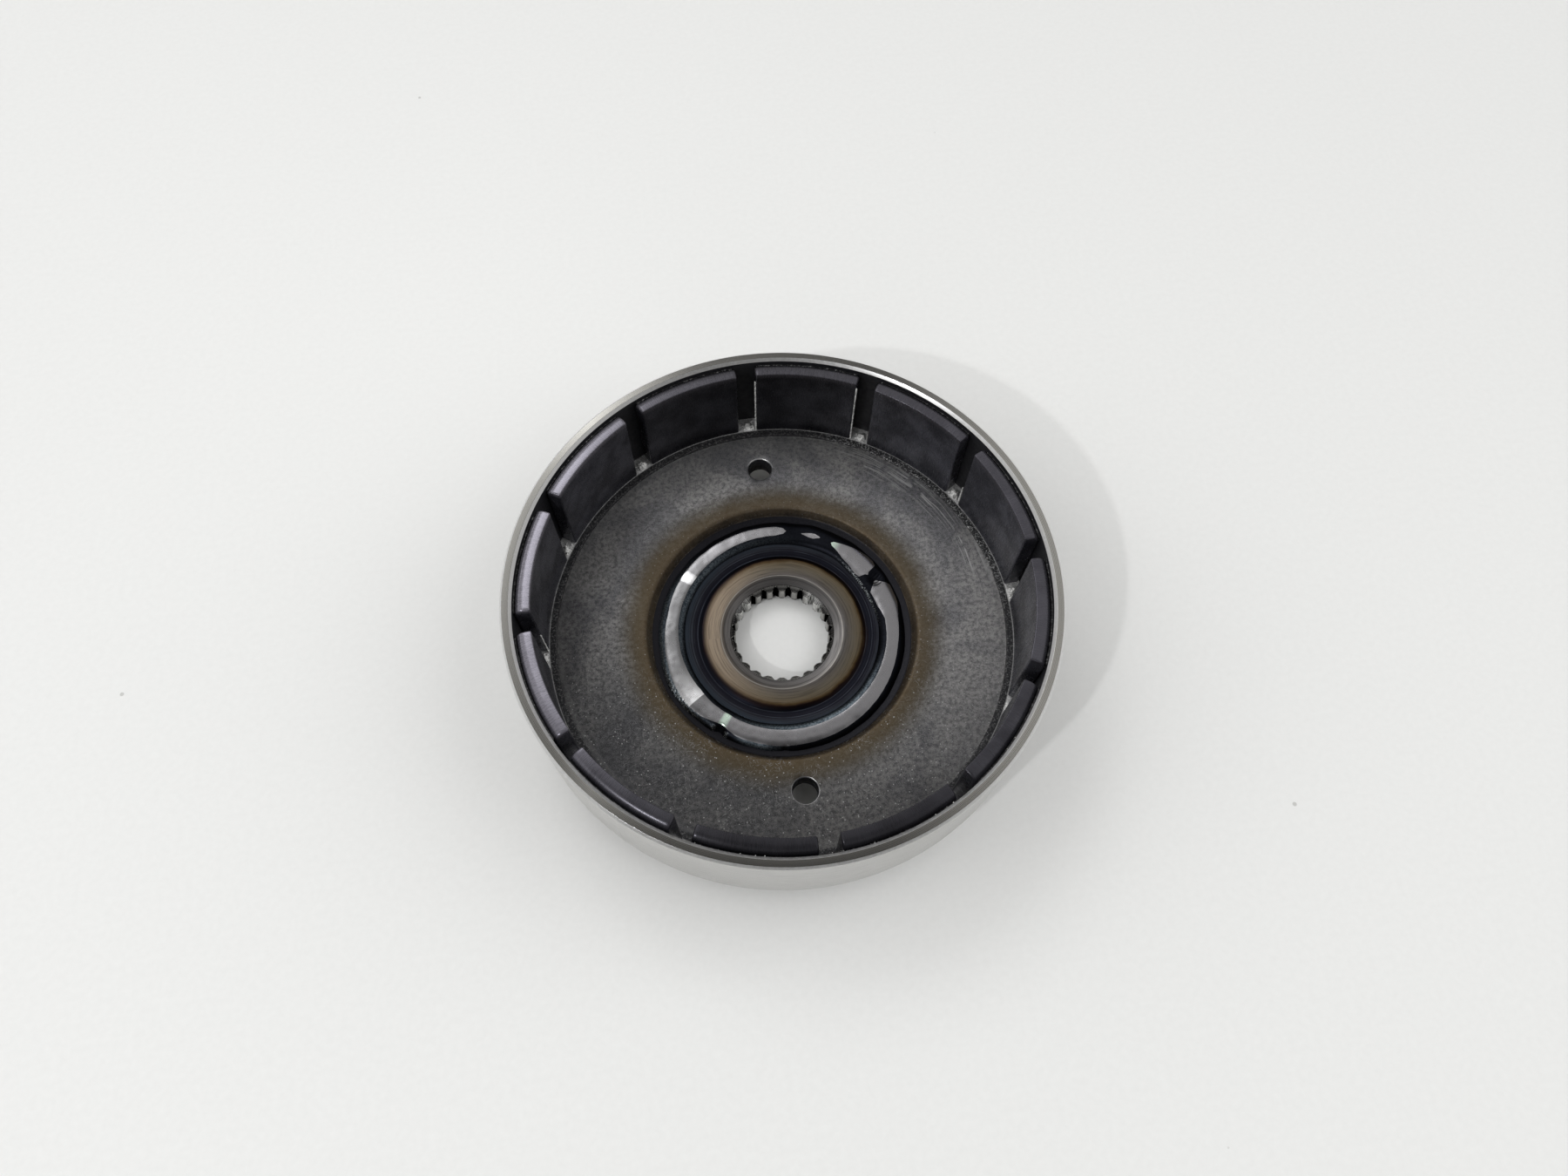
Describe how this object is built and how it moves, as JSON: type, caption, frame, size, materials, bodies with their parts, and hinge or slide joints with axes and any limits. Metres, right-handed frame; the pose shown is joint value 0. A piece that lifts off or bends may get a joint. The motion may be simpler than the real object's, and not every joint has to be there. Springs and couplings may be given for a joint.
{
  "type": "alternator rotor",
  "caption": "Turned steel magneto flywheel: a shallow cup lined with bonded arc magnets, with a splined hub welded into its web, beside which puller holes go through.",
  "frame": {"origin": "on the axis of rotation, at the foot of the hub, which is the surface the part stands on", "axes": "+Z along the axis of rotation, out of the cup's open mouth; +Y through one of the two puller holes; +X completes the right hand"},
  "size_m": [0.134, 0.134, 0.0375],
  "materials": {
    "cup_steel": "satin",
    "hub_steel": "satin",
    "weld_metal": "satin",
    "spacer_aluminium": "satin",
    "magnet": "satin",
    "adhesive": "matte"
  },
  "bodies": {
    "root": {"rotor_cup": "cup_steel", "splined_hub": "hub_steel", "weld_bead": "weld_metal", "spacer_ring": "spacer_aluminium", "magnet_01": "magnet", "magnet_02": "magnet", "magnet_03": "magnet", "magnet_04": "magnet", "magnet_05": "magnet", "magnet_06": "magnet", "magnet_07": "magnet", "magnet_08": "magnet", "magnet_09": "magnet", "magnet_10": "magnet", "magnet_11": "magnet", "magnet_12": "magnet", "magnet_bond_01": "adhesive", "magnet_bond_02": "adhesive", "magnet_bond_03": "adhesive", "magnet_bond_04": "adhesive", "magnet_bond_05": "adhesive", "magnet_bond_06": "adhesive", "magnet_bond_07": "adhesive", "magnet_bond_08": "adhesive", "magnet_bond_09": "adhesive", "magnet_bond_10": "adhesive", "magnet_bond_11": "adhesive", "magnet_bond_12": "adhesive"}
  },
  "joints": []
}
